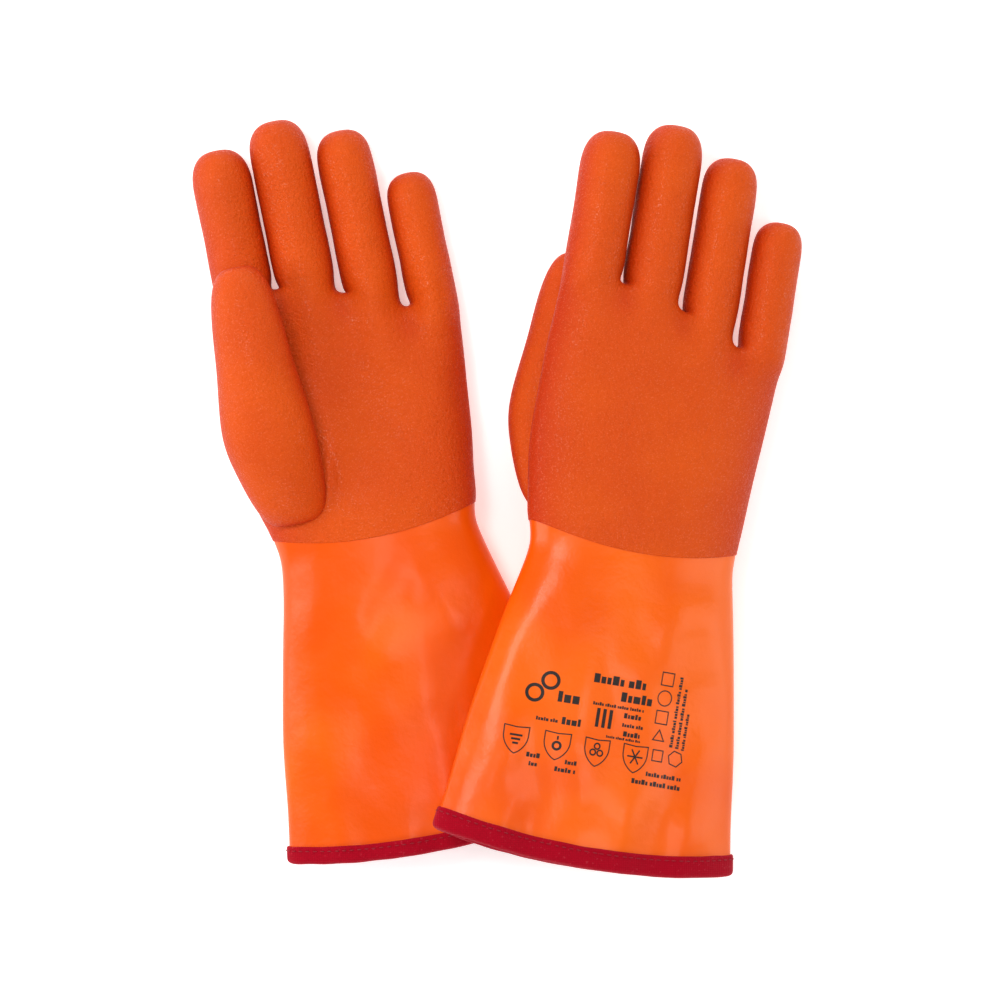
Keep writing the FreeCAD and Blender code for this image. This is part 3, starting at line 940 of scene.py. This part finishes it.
def flatRing(bm, corners, line):
    # an outline of even width along a closed row of corners
    face = bm.faces.new([bm.verts.new((x, y, 0)) for x, y in corners])
    face.normal_update()
    bmesh.ops.inset_individual(bm, faces=[face], thickness=line, use_even_offset=True)
    bmesh.ops.delete(bm, geom=[face], context="FACES_ONLY")


def flatBar(bm, x, y, width, height, turn=0.0):
    place = Matrix.Translation((x, y, 0)) @ Matrix.Rotation(math.radians(turn), 4, "Z")
    shape = place @ Matrix.Diagonal((width / 2, height / 2, 1, 1))
    bmesh.ops.create_grid(bm, x_segments=max(1, round(width / 2)), y_segments=1, size=1.0,
                          matrix=shape)


def blockRow(bm, x, y, width, height, turn=0.0):
    # a row of plain blocks of uneven width and height
    along = Vector((1, 0)) if not turn else Vector((0, 1))
    across = Vector((-along.y, along.x))
    gone = -width / 2
    step = 0
    while gone < width / 2 - height * 0.3:
        share = 0.5 + 0.5 * math.sin(step * 2.4 + width)
        block = min(height * (0.38 + 0.34 * share), width / 2 - gone)
        tall = height * (1.0 if step % 3 == 0 else 0.74)
        centre = along * (gone + block / 2) + across * (tall - height) / 2
        flatBar(bm, x + centre.x, y + centre.y, block, tall, turn)
        gone += block + height * (0.55 if step % 5 == 4 else 0.17)
        step += 1


def shieldCorners(x, y):
    width, height = printMarks["shieldWidth"], printMarks["shieldHeight"]
    corners = [(x, y + height * 0.46), (x + width / 2, y + height / 2)]
    for step in range(1, 10):
        fall = step / 10
        half = width / 2 * (1 - fall ** 2.1) ** 0.8
        corners.append((x + half, y + height / 2 - height * (0.3 + 0.7 * fall)))
    corners.append((x, y - height / 2))
    return corners + [(2 * x - px, py) for px, py in reversed(corners[1:-1])]


def polygon(x, y, radius, count, start=0.0):
    return [(x + radius * math.cos(start - 2 * math.pi * step / count),
             y + radius * math.sin(start - 2 * math.pi * step / count)) for step in range(count)]


def drawPrint(bm):
    line = printMarks["line"]
    row = printMarks["shieldRow"]
    for x in printMarks["shields"]:
        flatRing(bm, shieldCorners(x, row), line)
    bars, drops, rings, cold = printMarks["shields"]
    for step, width in enumerate((6.0, 4.4, 2.8)):
        flatBar(bm, bars, row + 2.2 - step * 1.9, width, 0.9)
    flatRing(bm, polygon(drops, row + 0.2, 2.3, 16), 1.1)
    flatBar(bm, drops, row + 3.9, 0.8, 1.8)
    for step in range(3):
        angle = math.radians(90 + 120 * step)
        flatRing(bm, polygon(rings + 2.0 * math.cos(angle), row + 1.0 + 2.0 * math.sin(angle),
                             1.7, 14), 0.7)
    for step in range(3):
        flatBar(bm, cold, row + 1.0, 7.6, 0.7, 60 * step)
    for x, y, width, height in printMarks["rows"]:
        blockRow(bm, x, y, width, height)
    for x, y, width, height in printMarks["columns"]:
        blockRow(bm, x, y, width, height, 90.0)
    for x, y, radius, corners in printMarks["icons"]:
        flatRing(bm, polygon(x, y, radius, corners, math.radians(90 if corners == 3 else 45)), line)
    x, y = printMarks["tallBars"]
    for step in range(3):
        flatBar(bm, x + (step - 1) * 3.1, y, 1.6, 8.8)
    x, y = printMarks["emblem"]
    flatRing(bm, polygon(x - 3.0, y - 3.0, 4.4, 24), 1.5)
    flatRing(bm, polygon(x + 3.4, y + 3.6, 4.4, 24), 1.5)
    blockRow(bm, x + 13.1, y - 3.0, 10.5, 5.0)


def makePrint(hand, gauntlet):
    # ink lying on the cuff's upper face, which is the back of the right glove
    bm = bmesh.new()
    drawPrint(bm)
    long = [edge for edge in bm.edges if edge.calc_length() > 2.5]
    bmesh.ops.subdivide_edges(bm, edges=long, cuts=3, use_grid_fill=True)
    bmesh.ops.triangulate(bm, faces=[face for face in bm.faces if len(face.verts) > 4])
    surface = BVHTree.FromObject(gauntlet, bpy.context.evaluated_depsgraph_get())
    matrix = toWorld[hand]
    out = (matrix.to_3x3() @ Vector((0, 0, -1))).normalized()
    for vert in bm.verts:
        x, y = vert.co.x + printMarks["shift"][0], vert.co.y + printMarks["shift"][1]
        above = matrix @ Vector((x, y, -60.0))
        hit = surface.ray_cast(above, -out)[0]
        vert.co = hit + out * printMarks["lift"] * mm
    bmesh.ops.recalc_face_normals(bm, faces=bm.faces)
    for face in bm.faces:
        face.normal_update()
        if face.normal.dot(out) < 0:
            face.normal_flip()
    mesh = bpy.data.meshes.new("cuff_print")
    bm.to_mesh(mesh)
    bm.free()
    mesh.materials.append(printInk)
    piece = bpy.data.objects.new(hand + "_cuff_print", mesh)
    bpy.context.scene.collection.objects.link(piece)
    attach(piece, hand + "_cuff")
    return piece


# build both gloves

for hand in hands:
    gauntlet = makeGauntlet(hand)
    makeCuffLining(hand)
    makeBinding(hand)
    makeStitches(hand)
    makeHand(hand)
    makeHandFleece(hand)
    makeThumb(hand, 0.0)
    makeThumb(hand, handForm["fleece"])
    if hand == "right":
        makePrint(hand, gauntlet)
    print(hand, "glove made")

# camera, floor and light

view = {"distance": 3.2, "across": 0.473, "sensor": 36.0, "centre": 0.001}


def makeCamera():
    data = bpy.data.cameras.new("camera")
    data.sensor_width = view["sensor"]
    data.lens = view["sensor"] * view["distance"] / view["across"]
    camera = bpy.data.objects.new("camera", data)
    camera.location = (view["centre"], 0, view["distance"])
    bpy.context.scene.collection.objects.link(camera)
    bpy.context.scene.camera = camera


def makeFloor():
    bm = bmesh.new()
    bmesh.ops.create_grid(bm, x_segments=2, y_segments=2, size=6.0)
    mesh = bpy.data.meshes.new("floor")
    bm.to_mesh(mesh)
    bm.free()
    finish = Finish("floorPaper")
    tone = finish.speckle(3.0, 2.0)
    mesh.materials.append(finish.dress(
        Base_Color=finish.blendColours(tone, (0.9, 0.9, 0.9), (0.93, 0.93, 0.93)), Roughness=0.8,
        Emission_Color=(1.0, 1.0, 1.0, 1.0), Emission_Strength=0.45))
    floor = bpy.data.objects.new("floor", mesh)
    floor.location.z = -0.0005
    bpy.context.scene.collection.objects.link(floor)


lamps = [
    # name, place, aim, width, height, power
    ("key", (-0.50, 0.42, 1.6), (0, 0, 0), 0.45, 0.45, 9.0),
    ("glint", (-0.05, -0.22, 1.9), (0, -0.05, 0), 0.22, 0.42, 2.4),
    ("cuffGlint", (0.80, -0.12, 1.8), (0.05, -0.05, 0), 0.16, 0.40, 2.4),
    ("left", (-1.6, 0.1, 0.75), (0, 0, 0), 0.7, 1.5, 16.0),
    ("right", (1.6, -0.1, 0.65), (0, 0, 0), 0.5, 1.5, 8.0),
    ("front", (0.0, -1.6, 0.85), (0, 0, 0), 1.5, 0.7, 12.0),
    ("back", (0.0, 1.6, 0.85), (0, 0, 0), 1.5, 0.7, 13.0),
]


def makeLamps():
    for name, place, aim, width, height, power in lamps:
        data = bpy.data.lights.new(name, "AREA")
        data.shape = "RECTANGLE"
        data.size = width
        data.size_y = height
        data.energy = power
        lamp = bpy.data.objects.new(name, data)
        lamp.location = place
        lamp.rotation_euler = (Vector(aim) - Vector(place)).to_track_quat("-Z", "Y").to_euler()
        bpy.context.scene.collection.objects.link(lamp)
    world = bpy.data.worlds.new("studio")
    world.use_nodes = True
    world.node_tree.nodes["Background"].inputs["Color"].default_value = (1, 1, 1, 1)
    world.node_tree.nodes["Background"].inputs["Strength"].default_value = 0.25
    bpy.context.scene.world = world


makeCamera()
makeFloor()
makeLamps()
bpy.context.scene.view_settings.view_transform = "Standard"
bpy.context.scene.view_settings.gamma = 0.88
print("stage set")

bpy.context.view_layer.update()
